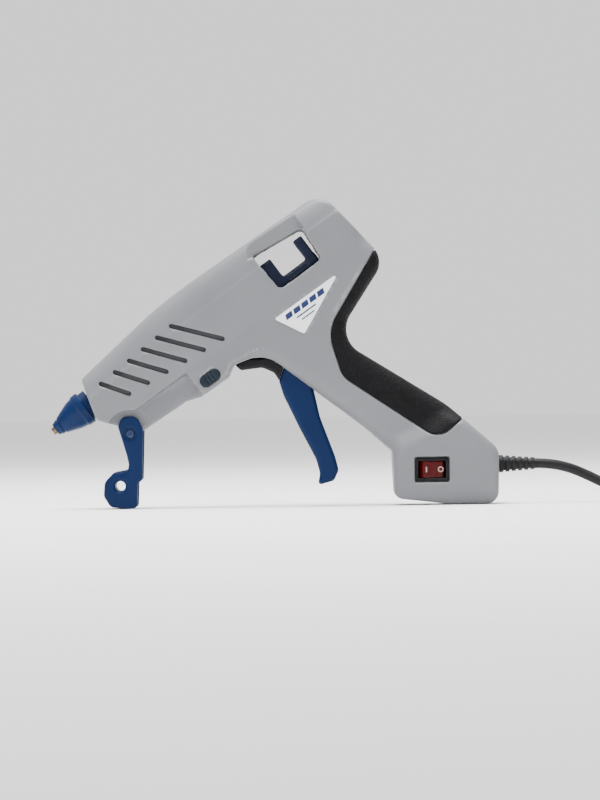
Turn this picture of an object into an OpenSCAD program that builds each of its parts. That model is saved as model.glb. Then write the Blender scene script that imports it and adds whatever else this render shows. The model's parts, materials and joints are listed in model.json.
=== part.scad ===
// Corded hot-melt glue gun for 11 mm sticks.
// X runs from the nozzle (-X) to the back of the handle (+X), Z is up and the shells split at y = 0.
// The origin is under the middle of the gun, on the surface that it stands on.

/* [Barrel] */
// Angle of the glue stick's axis above the ground, degrees
barrel_angle = 36.2; // [36:0.1:36.4]
// Width of the barrel across its flat sides
barrel_w = 42; // [40:1:44]
// Width of the barrel's nose
nose_w = 34; // [33:1:35]
// Width of the keel under the nose, between the stand's arms
keel_w = 22; // [20:1:22]
// Diameter of the glue sticks
stick_d = 11.3; // [11:0.1:11.4]

/* [Housing] */
// Thickness of the shells' walls
wall = 2.6; // [2.4:0.1:2.8]
// Width of the handle
handle_w = 36; // [36:1:38]
// Width of the foot of the handle
base_w = 48; // [46:1:50]
// Depth of the soft grip set into the shells
grip_t = 1.2; // [0.8:0.1:1.4]
// Width of the slot that the trigger moves in
slot_w = 20; // [19.6:0.1:20.4]

/* [Moving parts] */
// Width of the trigger blade
trigger_w = 18; // [17:0.5:18.5]
// Clearance between the drive pins and the trigger's fork, on each side
fork_gap = 0.15; // [0.1:0.05:0.2]
// Radius of the trigger's and the stand's pivot pins
pivot_r = 2.5; // [2.4:0.1:2.6]
// Diameter of the hole in the stand's finger loop
loop_hole_d = 6.5; // [6:0.5:7]

/* [Lead] */
// Diameter of the mains lead
cord_d = 6.5; // [6.2:0.1:6.5]
// Length of the straight runs of the tied hank
hank_run = 100; // [98:1:102]

/* [Hidden] */
$fn = 48;
tip = [-141.6, 49.5];         // end of the nozzle on the barrel's axis
stand_pivot = [-91.8, 47.5];
switch_at = [99.9, 22.3];
latch_at = [-40.2, 82.5];
cord_z = 25;
big = 400;
run_gap = 0.05;               // radial clearance of a pin in its hole
stick_bore_r = stick_d / 2 + 0.4;
fork_r = 36;                  // from the trigger's pivot to the barrel's axis
trigger_pivot = at(140, -fork_r);
drive_lead = 5;               // how far the drive pins stand behind the pivot at rest
chamber_r = 9.5;
chamber_s = [36, 106];        // the heating chamber's ends along the axis
carriage_s = [169, 202];
spring_s = [118.3, 138.4];
hank_at = [254.4, 14];        // centre of the hank's near fold
hank_r = 26.6;                // radius of its outer fold
hank_pinch = 14.5;            // how far the tie draws each run in
hank_h = 13.2;

// Corners [x, z, radius] of the housing's side view, clockwise from the top of the nose.
OUTLINE = [
    [-123, 83, 2.5], [-71.2, 131.1, 250], [31.3, 199.8, 14], [72.3, 156.6, 14],
    [40.2, 107, 17], [110, 63.5, 60], [143, 34.5, 12], [142.2, 0, 8],
    [112, 0, 30], [76, 4.2, 6], [74.8, 34, 3], [57, 49.6, 80],
    [-5.7, 98, 21], [-25.2, 90.3, 1.5], [-28.5, 82.5, 4], [-46, 70.5, 3],
    [-56, 67.5, 3], [-84, 49, 6], [-101, 53, 4], [-113, 56.6, 2.5],
];

// The wide foot of the handle, and the band along the back that the soft grip covers.
FOOT = [[70, 36, 0], [84, 42, 10], [122, 60, 10], [160, 44, 0], [160, -10, 0], [70, -10, 0]];
GRIP = [
    [68, 167, 0], [34.8, 111.3, 25], [44, 81.9, 15], [104.5, 41.3, 12], [120, 54.5, 0],
    [136, 72, 0], [92, 112, 0], [98, 150, 0],
];

// Where the trigger needs the shells open between their side walls.
TRIGGER_SLOT = [
    [-26, 78], [-26, 101], [-18, 112], [4, 112], [20, 101], [40, 84], [66, 54], [59, 38], [20, 50],
];

// The trigger's blade, from its hub down the finger side and back up.
BLADE = [
    [-11.6, 98.9, 2.5], [-1.6, 94.2, 2], [6.7, 88.7, 1.5], [3.4, 79.8, 3], [6.2, 70.5, 20],
    [16.2, 49.5, 60], [26.5, 29.5, 20], [28.8, 20.4, 8], [27.4, 13, 1.5], [37.8, 15.8, 3.5],
    [40.9, 22.5, 5], [38.6, 31.5, 20], [29.3, 56.6, 40], [25, 76.5, 4], [14.5, 88, 10],
    [-1.8, 101.4, 2.5],
];
SHROUD = [
    [-24.3, 90.3, 1], [-20.8, 87, 2], [-7, 88.6, 6], [0.4, 85.2, 4], [3.6, 80, 0], [8, 90, 0],
    [-3, 96.5, 1], [-9.5, 94.9, 2], [-20, 95.5, 3],
];

// One arm of the stand, and its foot with the finger loop.
ARM = [
    [-99.6, 52.3, 2], [-97, 58.3, 4], [-87.5, 59, 5], [-83.4, 50, 4], [-84.4, 18.5, 1.5],
    [-87.2, 16.2, 1], [-87.8, 0, 3], [-99, 0, 2], [-99, 20, 1], [-93.6, 24.3, 2], [-92.9, 28, 3],
    [-94.2, 34, 20], [-96.5, 42, 20],
];
LOOP = [
    [-94.4, 24.6, 0.5], [-102.5, 23.2, 5], [-108.6, 17, 6], [-109.3, 8, 5], [-105, 1, 4],
    [-97, 0, 3], [-92.8, 0, 0], [-94.2, 24.5, 0],
];
loop_hole_at = [-98.5, 14.4];
BADGE = [[1, 119.3, 1.5], [42.6, 148.6, 2.5], [20.2, 109.6, 1.5]];

// Where each shell is parted: the handle under the barrel, and the foot under the handle.
HANDLE_ZONE = [
    [-30.16, 103.8], [-7.71, 73.13], [-7.71, 36], [150, 36], [150, 185.31], [81.2, 185.31],
];
FOOT_ZONE = [[60, -5], [60, 36], [150, 36], [150, -5]];

// The feed window in the barrel's own (s, t) plane.
WINDOW = [[169.4, 11.5, 2], [204.5, 7.4, 3], [202.6, -14.9, 2.5], [171.2, -14.6, 2.5]];

// First and last vent slot, front end then rear end.
VENTS = [[[-109.7, 79.6], [-92, 73.3]], [[-64.4, 115.7], [-32.1, 107.3]]];
vent_count = 6;
vent_r = 1.5;

// [radius, s] of the barrel's turned surface.
BARREL = [[0, 20], [15.5, 20], [18, 38], [24.6, 95], [25.8, 130], [25.4, 176], [23.7, 206],
          [21.6, 226], [21.6, 245], [0, 245]];

// Housing screws: [x, z, distance of the boss's end from the middle plane].
SCREWS = [[-70, 65, 10], [-55.4, 134.8, 14.5], [23, 188.4, 14.5], [52, 140, 16.6],
          [46, 92, 16.6], [99, 48.5, 16.6], [133, 10, 22.6], [84.5, 12, 22.6]];

// Centre line of the lead, from inside the housing to the hank on the floor.
LEAD = [[130, 0, 25], [143, 0, 25], [156, 0, 25], [168, 0, 25], [179, 0, 24], [189, 0, 21.5],
        [198, -0.3, 17.8], [207, -1.9, 13.4], [216, -4.2, 9.2], [225, -6.9, 6], [234, -9.5, 4.2],
        [243, -11.6, 3.4], [250, -12.5, 3.3], [258, -12.2, 3.3]];
// The lead's last stretch climbs off the far fold, over the tie, and round to the plug.
function ease(v) = let (c = max(0, min(1, v))) c * c * (3 - 2 * c);
function pinch(w) = hank_pinch * (1 - cos(360 * w)) / 2;
function fold(f, r, z) = [hank_at.x + r * cos(90 + 180 * f), hank_at.y + r * sin(90 + 180 * f), z];
TAIL = [
    for (k = [0:10]) let (w = k / 10)
        [hank_at.x + hank_run * (1 - w), hank_at.y + hank_r - pinch(w),
         9.9 + 8.6 * ease(2 * w) + 1.3 * ease(2 * w - 1)],
    for (k = [1:8]) fold(k / 8, hank_r - 7.2 * ease(k / 8), 19.8 + 0.8 * ease(k / 8)),
    [258, -5.4, 20.6],
];
// The pair of wires from the terminal block to the heater.
WIRE = [[117, 0, 38], [113, 0, 47], [90, 0, 68], [60, 0, 86], [44, 0, 82.5], [34, 0, 97],
        [30, 0, 120], [24, 0, 137], [-5, 0, 117], [-38, 0, 95.5], [-52, 0, 91.5], [-58, 0, 94.5]];
wire_y = [3, 6];

// ---------------------------------------------------------------- outlines

// The point at s along the barrel's axis and t above it.
function at(s, t) = tip + s * [cos(barrel_angle), sin(barrel_angle)]
    + t * [-sin(barrel_angle), cos(barrel_angle)];
function unit(v) = v / norm(v);
function flat(p) = [p.x, p.y];
function around(p, i) = p[(i + len(p)) % len(p)];

// The arc that rounds corner b between its neighbours a and c.
function corner(a, b, c) =
    let (u = unit(flat(a) - flat(b)), v = unit(flat(c) - flat(b)),
         half = acos(max(-1, min(1, u * v))) / 2,
         middle = flat(b) + unit(u + v) * b[2] / sin(half),
         start = flat(b) + u * b[2] / tan(half) - middle,
         sweep = (180 - 2 * half) * (u.x * v.y - u.y * v.x > 0 ? -1 : 1),
         steps = max(2, ceil(abs(sweep) / 11)))
    [for (k = [0:steps])
        let (a0 = atan2(start.y, start.x) + sweep * k / steps)
        middle + b[2] * [cos(a0), sin(a0)]];

// A closed outline with each corner [x, y, radius] rounded.
function rounded(p) =
    [for (i = [0:len(p) - 1])
        each p[i][2] > 0 ? corner(around(p, i - 1), p[i], around(p, i + 1)) : [flat(p[i])]];

// A clockwise outline moved inwards by d.
function inset(p, d) =
    [for (i = [0:len(p) - 1])
        let (u = unit(flat(p[i]) - flat(around(p, i - 1))),
             v = unit(flat(around(p, i + 1)) - flat(p[i])),
             n = [u.y, -u.x], m = [v.y, -v.x],
             turn = u.x * v.y - u.y * v.x < 0 ? -d : d)
        [each flat(p[i]) + (n + m) * d / (1 + n * m), p[i][2] > 0 ? max(0.3, p[i][2] + turn) : 0]];

// ---------------------------------------------------------------- placing

// Extrudes a drawing in the XZ plane from y0 to y1.
module slab(y0, y1) rotate([90, 0, 0]) translate([0, 0, -y1]) linear_extrude(y1 - y0) children();
module across(half) slab(-half, half) children();

// The barrel's frame: X along the axis from the tip (s), Z square to it (t).
module on_barrel() translate([tip.x, 0, tip.y]) rotate([0, -barrel_angle, 0]) children();

// Turns [radius, s] points about the barrel's axis.
module turned(profile) on_barrel() rotate([0, 90, 0]) rotate_extrude() polygon(profile);

// A block in the barrel's frame.
module block(s, y, t) on_barrel() translate([s[0], y[0], t[0]])
    cube([s[1] - s[0], y[1] - y[0], t[1] - t[0]]);

module both_sides() { children(); mirror([0, 1, 0]) children(); }

// A cylinder along Y at a point of the XZ plane.
module rod(at, r, y0, y1) translate([at.x, y1, at.y]) rotate([90, 0, 0]) cylinder(r = r, h = y1 - y0);

// A slot with round ends, along Y, from point a to point b.
function round_end(p, u, r) = let (n = [-u.y, u.x])
    [for (k = [0:12]) p + r * (u * sin(15 * k) + n * cos(15 * k))];
module slot(a, b, r, y0, y1) slab(y0, y1)
    polygon([each round_end(b, unit(b - a), r), each round_end(a, unit(a - b), r)]);

// One round tube swept along points, as a single polyhedron.
function ring_at(p, i, r, n) =
    let (t = unit(p[min(i + 1, len(p) - 1)] - p[max(i - 1, 0)]),
         side = unit(cross(abs(t.z) > 0.9 ? [1, 0, 0] : [0, 0, 1], t)), up = cross(t, side))
    [for (k = [0:n - 1]) p[i] + r * (side * cos(360 * k / n) + up * sin(360 * k / n))];
module sweep(p, r, n) {
    last = len(p) - 1;
    polyhedron(
        points = [for (i = [0:last]) each ring_at(p, i, r, n)],
        faces = [
            [for (k = [0:n - 1]) k], [for (k = [n - 1:-1:0]) last * n + k],
            for (i = [0:last - 1]) for (k = [0:n - 1])
                [i * n + k, (i + 1) * n + k, (i + 1) * n + (k + 1) % n, i * n + (k + 1) % n],
        ]);
}

// A helix along +Z: radius, height, turns, and rings per turn.
function helix(r, h, turns, per = 16) =
    [for (i = [0:turns * per]) [r * cos(360 * i / per), r * sin(360 * i / per), h * i / turns / per]];

// ---------------------------------------------------------------- the shells' common form

// Everything inside the outer surface moved inwards by "in".
module form(in) {
    difference() {
        intersection() {
            across(30) polygon(rounded(inset(OUTLINE, in)));
            union() {
                intersection() {
                    turned([for (p = BARREL) [max(0, p.x - in), p.y]]);
                    translate([-big / 2, -barrel_w / 2 + in, -big / 2])
                        cube([big, barrel_w - 2 * in, big * 1.5]);
                }
                block([20 + in, 100], [-nose_w / 2 + in, nose_w / 2 - in], [-22 + in, 0.5]);
                block([90 + in, 270], [-handle_w / 2 + in, handle_w / 2 - in], [-230, 1]);
                block([15, 100], [-keel_w / 2 + in, keel_w / 2 - in], [-60, -15]);
                across(base_w / 2 - in) polygon(rounded(inset(FOOT, in)));
            }
        }
        both_sides() {
            rod(stand_pivot, 15.2 + in, keel_w / 2 - in, 30);
            block([165 - in, 206 + in], [15 - in, 30], [13 - in, 40]);
        }
    }
}

// Bosses, ribs and rails inside both shells.
module fittings() {
    rod(stand_pivot, 6.5, -keel_w / 2, keel_w / 2);
    for (p = [[54, 16], [96, 20]]) difference() {
        turned([[chamber_r + 0.7, p[0]], [p[1], p[0]], [p[1], p[0] + 2.5],
                [chamber_r + 0.7, p[0] + 2.5]]);
        block([90, 100], [-8, 8], [-30, -14]);
    }
    both_sides() {
        block([152, 206], [9, 16.4], [-23, -20.35]);
        block([152, 206], [9, 16.4], [-17.15, -15.6]);
        rod(trigger_pivot, 5.5, 14.8, 16.6);
    }
    for (b = SCREWS) rod([b.x, b.y], 4.6, -b[2], b[2]);
}

// Everything that is cut through or into the shells.
module openings() {
    on_barrel() across(30) polygon(rounded(WINDOW));
    for (i = [0:vent_count - 1]) {
        k = i / (vent_count - 1);
        both_sides() slot(VENTS[0][0] * (1 - k) + VENTS[1][0] * k,
                          VENTS[0][1] * (1 - k) + VENTS[1][1] * k, vent_r, 12.5, 30);
    }
    across(slot_w / 2) polygon(TRIGGER_SLOT);
    turned([[0, 20], [10, 20], [10, 36], [0, 36]]);
    turned([[0, 212], [9.1, 212], [9.1, 250], [0, 250]]);
    rod(stand_pivot, pivot_r + run_gap, -30, 30);
    both_sides() rod(trigger_pivot, pivot_r + run_gap, 14, 16.9);
    translate([138, 0, cord_z]) rotate([0, 90, 0]) cylinder(r = 5.1, h = 20);
}

module shell_form() {
    difference() {
        union() {
            difference() { form(0); form(wall); }
            fittings();
        }
        openings();
    }
}

module half(side) {
    intersection() {
        children();
        translate([-big / 2, side > 0 ? 0.02 : -60.02, -20]) cube([big, 60, 300]);
    }
}

module grip_space() difference() {
    slab(-30, 30) polygon(rounded(GRIP));
    form(grip_t);
}

module grip_form() {
    difference() {
        intersection() {
            form(0);
            grip_space();
        }
        for (b = SCREWS) rod([b.x, b.y], 3.5, 0, 40);
    }
}

module switch_pad(g) translate([switch_at.x - 13 + g, -base_w / 2, switch_at.y - 10 + g])
    cube([26 - 2 * g, 6, 20 - 2 * g]);

// ---------------------------------------------------------------- shells

module left_shell() difference() {
    union() {
        half(-1) difference() { shell_form(); grip_space(); }
        switch_pad(0.5);
    }
    translate([switch_at.x - 11.5, -base_w / 2 - 1, switch_at.y - 8.5]) cube([23, 3.8, 17]);
    translate([switch_at.x - 9.8, -base_w / 2 - 1, switch_at.y - 6.8]) cube([19.6, 20, 13.6]);
    translate([latch_at.x, 0, latch_at.y]) rotate([0, -35, 0])
        slot([-3.2, 0], [3.2, 0], 3.8, -30, -10);
    slab(-18.01, -17.4) polygon(rounded(BADGE));
    for (b = SCREWS) rod([b.x, b.y], 1.5, -b[2] + 2, 1);
}

module right_shell() difference() {
    union() {
        half(1) difference() { shell_form(); grip_space(); }
        rod(latch_at, 1.8, -7, 15.6);
    }
    for (b = SCREWS) {
        rod([b.x, b.y], 1.7, -1, 40);
        rod([b.x, b.y], 3.2, b[2] - 2.6, 40);
    }
}

// Each moulded shell is kept as three simple solids that meet face to face.
module in_handle() slab(-30, 30) polygon(HANDLE_ZONE);
module in_foot() slab(-30, 30) polygon(FOOT_ZONE);
module barrel_of() difference() {
    children();
    in_handle();
    in_foot();
}
module barrel_left() color([0.64, 0.64, 0.66]) barrel_of() left_shell();
module barrel_right() color([0.62, 0.62, 0.64]) barrel_of() right_shell();
module handle_left() color([0.64, 0.64, 0.66]) intersection() {
    left_shell();
    in_handle();
}
module handle_right() color([0.62, 0.62, 0.64]) intersection() {
    right_shell();
    in_handle();
}
module foot_left() color([0.64, 0.64, 0.66]) intersection() {
    left_shell();
    in_foot();
}
module foot_right() color([0.62, 0.62, 0.64]) intersection() {
    right_shell();
    in_foot();
}

module grip_left() color([0.09, 0.09, 0.1]) half(-1) grip_form();
module grip_right() color([0.09, 0.09, 0.1]) half(1) grip_form();
module side_badge() color("white") slab(-18.4, -17.42) polygon(rounded(inset(BADGE, 0.1)));

// ---------------------------------------------------------------- nozzle and heating

module nozzle() color([0.78, 0.6, 0.3]) turned([
    [1, 0], [2.4, 0], [2.4, 2.2], [7.2, 17], [7.2, 26], [5, 26], [5, 43],
    [1.6, 43], [1.6, 24], [2.6, 24], [2.6, 4], [1, 4]]);
module nozzle_sleeve() color([0.1, 0.25, 0.5]) turned([
    [2.45, 2.3], [3.9, 2.3], [7.2, 10.6], [9.5, 17], [10.2, 20.6], [11.1, 22.2], [11.1, 26.2],
    [9.6, 26.5], [9.6, 31], [7.3, 31], [7.3, 17]]);
module check_ball() color("silver") on_barrel() translate([22.1, 0, 0]) sphere(r = 2.4);
module valve_spring() color("silver") on_barrel() translate([4.6, 0, 0]) rotate([0, 90, 0])
    sweep(helix(1.7, 14.4, 6, 12), 0.35, 6);

module heating_chamber() color([0.72, 0.73, 0.75]) difference() {
    union() {
        turned([[0, chamber_s[0]], [chamber_r, chamber_s[0]], [chamber_r, 50.5], [11.5, 50.5],
                [11.5, 53], [chamber_r, 53], [chamber_r, 99.5], [11.5, 99.5], [11.5, 102],
                [chamber_r, 102], [chamber_r, chamber_s[1]], [0, chamber_s[1]]]);
        block([60, 92], [-8, 8], [-14.5, -5]);
    }
    turned([[0, 35], [5 + run_gap, 35], [5 + run_gap, 44], [4, 44], [stick_bore_r, 50],
            [stick_bore_r, 110], [0, 110]]);
    block([58, 90], [-6.6, 6.6], [-13, -8.6]);
}
module ptc_heater() color([0.75, 0.5, 0.25]) block([59, 89], [-6.5, 6.5], [-12.9, -8.7]);
module heater_clip() color("silver") on_barrel() translate([70, 0, 0]) rotate([90, 0, 90])
    linear_extrude(10) difference() {
        union() {
            circle(r = chamber_r + 0.6);
            translate([-8.8, -15.3]) square([17.6, 9.3]);
        }
        circle(r = chamber_r + 0.05);
        translate([-8.05, -14.55]) square([16.1, 9.6]);
        translate([-4, 0]) square([8, 20]);
    }
module stick_guide_sleeve() color([0.12, 0.12, 0.13]) turned([
    [stick_bore_r, 106.2], [stick_bore_r, 118], [9, 118], [11, 108], [11, 102.2],
    [chamber_r + 0.05, 102.2], [chamber_r + 0.05, 106.2]]);
module rear_inlet_bush() color([0.12, 0.12, 0.13]) turned([
    [stick_bore_r, 213], [9, 213], [9, 231.8], [stick_bore_r, 231.8]]);
module thermal_fuse() color([0.85, 0.8, 0.7]) on_barrel() translate([66, 0, 12.6]) rotate([0, 90, 0])
    cylinder(r = 2, h = 11);

// ---------------------------------------------------------------- feed

module feed_carriage() color([0.1, 0.18, 0.4]) {
    difference() {
        union() {
            block(carriage_s, [-9.5, 9.5], [-15, -9.5]);
            block([carriage_s[0], 177.3], [-9.5, 9.5], [-15, 4.6]);
            block([195.5, carriage_s[1]], [-9.5, 9.5], [-15, 4.6]);
            block([170, 201], [-7, 7], [-18, -14]);
            block([170, 201], [-13.4, 13.4], [-20, -17.5]);
            both_sides() {
                block([138.8, 172], [7.2, 9.5], [-5, 4.6]);
                block([152, 164], [7.2, 9.5], [-12, 0]);
                slot_pin();
            }
        }
        on_barrel() translate([150, 0, 0]) rotate([0, 90, 0]) cylinder(r = 6.3, h = 60);
        block([165, 205], [-6.3, 6.3], [0, 10]);
        jaw_axis(1.2 + run_gap, 12);
    }
}
module slot_pin() on_barrel() translate([140 + drive_lead, 9, 0]) rotate([-90, 0, 0])
    cylinder(r = 2.4, h = 5.8);
module jaw_axis(r, half) on_barrel() translate([158, half, -9.5]) rotate([90, 0, 0])
    cylinder(r = r, h = 2 * half);
module jaw_pin() color("silver") jaw_axis(1.2, 9.4);
module clamp_jaw() color("silver") difference() {
    union() {
        block([157.2, 158.8], [-6.9, 6.9], [-9.5, 8.5]);
        jaw_axis(2.3, 6.9);
    }
    on_barrel() translate([150, 0, 0]) rotate([0, 90, 0]) cylinder(r = 6.1, h = 20);
    jaw_axis(1.2 + run_gap, 8);
}
module carriage_spring() color("silver") on_barrel() translate([spring_s[0] + 0.7, 0, 0])
    rotate([0, 90, 0]) sweep(helix(8.3, spring_s[1] - spring_s[0] - 1.4, 5), 0.6, 6);

// ---------------------------------------------------------------- trigger

// The fork's frame: origin at the trigger's pivot, Z towards the drive pins.
module on_fork() translate([trigger_pivot.x, 0, trigger_pivot.y])
    rotate([0, -barrel_angle + atan2(drive_lead, fork_r), 0]) children();
module trigger() color([0.11, 0.28, 0.52]) difference() {
    union() {
        across(trigger_w / 2) polygon(rounded(BLADE));
        rod(trigger_pivot, 6.5, -trigger_w / 2, trigger_w / 2);
        rod(trigger_pivot, 5, -14.3, 14.3);
        both_sides() difference() {
            on_fork() translate([-5.5, 11, -1.6]) cube([11, 3.5, 43.6]);
            on_fork() translate([-2.4 - fork_gap, 10, 32.5]) cube([4.8 + 2 * fork_gap, 6, 20]);
        }
    }
    rod(trigger_pivot, pivot_r + 0.06, -20, 20);
}
module trigger_shroud() color([0.1, 0.1, 0.11]) difference() {
    across(trigger_w / 2) polygon(rounded(SHROUD));
    across(20) polygon(rounded(BLADE));
    rod(trigger_pivot, 6.5, -20, 20);
}
module trigger_pivot_pin() color("silver") rod(trigger_pivot, pivot_r, -16.8, 16.8);

// ---------------------------------------------------------------- stand

module stand() color([0.11, 0.28, 0.52]) difference() {
    union() {
        both_sides() slab(keel_w / 2 + 0.4, 15) polygon(rounded(ARM));
        across(15) polygon(rounded(LOOP));
    }
    rod(stand_pivot, pivot_r + 0.06, -20, 20);
    rod(loop_hole_at, loop_hole_d / 2, -20, 20);
}
module stand_pivot_pin() color("silver") rod(stand_pivot, pivot_r, -15.6, 15.6);
module stand_latch_button() color([0.3, 0.31, 0.33]) translate([latch_at.x, 0, latch_at.y])
    rotate([0, -35, 0]) {
        slot([-3.2, 0], [3.2, 0], 3.6, -18.9, -14);
        slot([-4.6, 0], [4.6, 0], 3.6, -15.1, -13);
    }
module latch_spring() color("silver") translate([latch_at.x, -12.6, latch_at.y])
    rotate([-90, 0, 0]) sweep(helix(1.8, 5.2, 4, 12), 0.3, 6);

// ---------------------------------------------------------------- switch and lead

// The rocker turns about Z at this y, inside the switch body.
rocker_y = -17;
rocker_tilt = 9;
module switch_body() color([0.07, 0.07, 0.08]) difference() {
    union() {
        translate([switch_at.x - 10.5, -23, switch_at.y - 7.5]) cube([21, 1.8, 15]);
        translate([switch_at.x - 9.5, -22, switch_at.y - 6.5]) cube([19, 18, 13]);
    }
    translate([switch_at.x - 8.7, -30, switch_at.y - 5.5]) cube([17.4, 21.6, 11]);
}
module rocker() color([0.5, 0.05, 0.04]) translate([switch_at.x, rocker_y, switch_at.y - 5.3])
    rotate([0, 0, rocker_tilt]) linear_extrude(10.6) difference() {
        circle(r = 8.3);
        polygon([[-12, -6.5], [0, -4.9], [12, -6.5], [12, -20], [-12, -20]]);
    }
module terminal_block() color([0.85, 0.84, 0.8]) translate([112, -1, 28]) cube([14, 14, 9]);
module inner_wires() {
    for (y = wire_y) color([0.45, 0.25, 0.12]) sweep([for (p = WIRE) p + [0, y, 0]], 0.9, 6);
}
module cord_clamp() color([0.15, 0.15, 0.16]) difference() {
    translate([128, -11, cord_z + 1]) cube([6, 22, 4]);
    translate([120, 0, cord_z]) rotate([0, 90, 0]) cylinder(r = cord_d / 2 + 0.05, h = 20);
    both_sides() translate([131, 7.5, cord_z]) cylinder(r = 1.55, h = 20);
}
module cord_clamp_screws() color("silver") both_sides() {
    translate([131, 7.5, cord_z - 4]) cylinder(r = 1.5, h = 9);
    translate([131, 7.5, cord_z + 5]) cylinder(r = 2.8, h = 2);
}
module housing_screws() color("silver") for (b = SCREWS) difference() {
    union() {
        rod([b.x, b.y], 1.45, -b[2] + 4, b[2] - 2);
        rod([b.x, b.y], 2.8, b[2] - 2.6, b[2] - 0.4);
    }
    translate([b.x - 2, b[2] - 1.4, b.y - 0.4]) cube([4, 4, 0.8]);
    translate([b.x - 0.4, b[2] - 1.4, b.y - 2]) cube([0.8, 4, 4]);
}
module strain_relief() color([0.08, 0.08, 0.09]) translate([134.2, 0, cord_z]) rotate([0, 90, 0])
    rotate_extrude() polygon([
        [cord_d / 2 + 0.05, 0], [6.8, 0], [6.8, 3.6], [5, 3.6], [5, 10], [3.9, 33.6],
        [cord_d / 2 + 0.05, 33.6]]);

module cord_lead() color([0.07, 0.07, 0.08]) sweep(LEAD, cord_d / 2, 12);
// The hank's outline, o outside its middle line.
function hank_side(o) = [
    for (k = [0:20]) [hank_at.x + hank_run * k / 20, hank_at.y - o + pinch(k / 20)],
    for (k = [1:11]) [hank_at.x + hank_run + o * sin(15 * k), hank_at.y - o * cos(15 * k)],
    for (k = [0:20]) [hank_at.x + hank_run * (1 - k / 20), hank_at.y + o - pinch(k / 20)],
    for (k = [1:11]) [hank_at.x - o * sin(15 * k), hank_at.y + o * cos(15 * k)],
];
module cord_hank() color([0.07, 0.07, 0.08]) difference() {
    linear_extrude(hank_h) polygon(hank_side(hank_r + cord_d / 2));
    for (x = [hank_at.x, hank_at.x + hank_run]) translate([x, hank_at.y, -1]) cylinder(r = 13, h = 20);
    translate([hank_at.x + hank_run / 2 - 5.2, hank_at.y - 40, -1]) cube([10.4, 80, 1.75]);
}
module cord_tie() color([0.2, 0.2, 0.22]) difference() {
    translate([hank_at.x + hank_run / 2 - 5, hank_at.y - 16.6, 0]) cube([10, 33.2, 14.75]);
    translate([hank_at.x + hank_run / 2 - 6, hank_at.y - 15.9, 0.7]) cube([12, 31.8, 13.35]);
}
module cord_tail() color([0.07, 0.07, 0.08]) sweep(TAIL, cord_d / 2, 12);

// A flat two-pin plug that lies on the hank with its pins along +X.
plug_at = [258, -5.4, 20.6];
module plug_body() color([0.07, 0.07, 0.08]) translate(plug_at) {
    rotate([0, 90, 0]) rotate_extrude() polygon([[0, 0.1], [3.8, 0.1], [4.8, 14], [0, 14]]);
    translate([10, 0, 0]) rotate([90, 0, 0]) translate([0, 0, -8]) linear_extrude(16)
        polygon([[0, -4], [5, -6.6], [28, -6.6], [28, 6.6], [5, 6.6], [0, 4]]);
    translate([20, -14, -6.6]) cube([18, 28, 13.2]);
}
module plug_pins() color("silver") for (y = [-9.3, 9.3]) translate(plug_at + [38, y, 0])
    rotate([0, 90, 0]) cylinder(r = 2, h = 19);

barrel_left();
barrel_right();
handle_left();
handle_right();
foot_left();
foot_right();
grip_left();
grip_right();
side_badge();
nozzle();
nozzle_sleeve();
check_ball();
valve_spring();
heating_chamber();
ptc_heater();
heater_clip();
stick_guide_sleeve();
rear_inlet_bush();
thermal_fuse();
feed_carriage();
clamp_jaw();
jaw_pin();
carriage_spring();
trigger();
trigger_shroud();
trigger_pivot_pin();
stand();
stand_pivot_pin();
stand_latch_button();
latch_spring();
switch_body();
rocker();
terminal_block();
inner_wires();
cord_clamp();
cord_clamp_screws();
housing_screws();
strain_relief();
cord_lead();
cord_hank();
cord_tie();
cord_tail();
plug_body();
plug_pins();
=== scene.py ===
"""Corded glue gun: the looks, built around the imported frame. Lengths are in mm until a mesh is made."""

import json
import math

import bmesh
import bpy
import numpy as np
import openvdb
from mathutils import Matrix, Vector


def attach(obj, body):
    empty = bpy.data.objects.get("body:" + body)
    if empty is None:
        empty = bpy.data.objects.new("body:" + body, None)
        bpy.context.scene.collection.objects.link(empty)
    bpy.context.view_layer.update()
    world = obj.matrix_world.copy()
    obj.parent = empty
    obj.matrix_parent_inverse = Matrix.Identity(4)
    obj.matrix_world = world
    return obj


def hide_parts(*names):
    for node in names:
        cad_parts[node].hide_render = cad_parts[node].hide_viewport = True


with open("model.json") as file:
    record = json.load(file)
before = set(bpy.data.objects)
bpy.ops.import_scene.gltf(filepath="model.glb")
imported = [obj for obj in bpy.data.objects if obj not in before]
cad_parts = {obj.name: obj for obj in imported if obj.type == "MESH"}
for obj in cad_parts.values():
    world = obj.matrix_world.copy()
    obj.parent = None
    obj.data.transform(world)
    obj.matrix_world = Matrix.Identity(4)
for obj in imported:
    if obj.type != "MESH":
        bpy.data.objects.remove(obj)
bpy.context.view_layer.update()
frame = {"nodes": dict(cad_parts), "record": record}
MM = 0.001

# ---------------------------------------------------------------- camera

LENS, SENSOR = 200.0, 36.0
VIEW_HEIGHT = 512.0
VIEW_CENTRE = (16.7, 67.6)
ROLL = math.radians(0.84)


def make_camera():
    data = bpy.data.cameras.new("camera")
    data.lens, data.sensor_width, data.clip_end = LENS, SENSOR, 50
    camera = bpy.data.objects.new("camera", data)
    bpy.context.scene.collection.objects.link(camera)
    distance = VIEW_HEIGHT * LENS / SENSOR
    camera.matrix_world = (
        Matrix.Translation(Vector((VIEW_CENTRE[0], -distance, VIEW_CENTRE[1])) * MM)
        @ Matrix.Rotation(math.pi / 2, 4, "X")
        @ Matrix.Rotation(-ROLL, 4, "Z")
    )
    bpy.context.scene.camera = camera


make_camera()

# ---------------------------------------------------------------- materials


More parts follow.
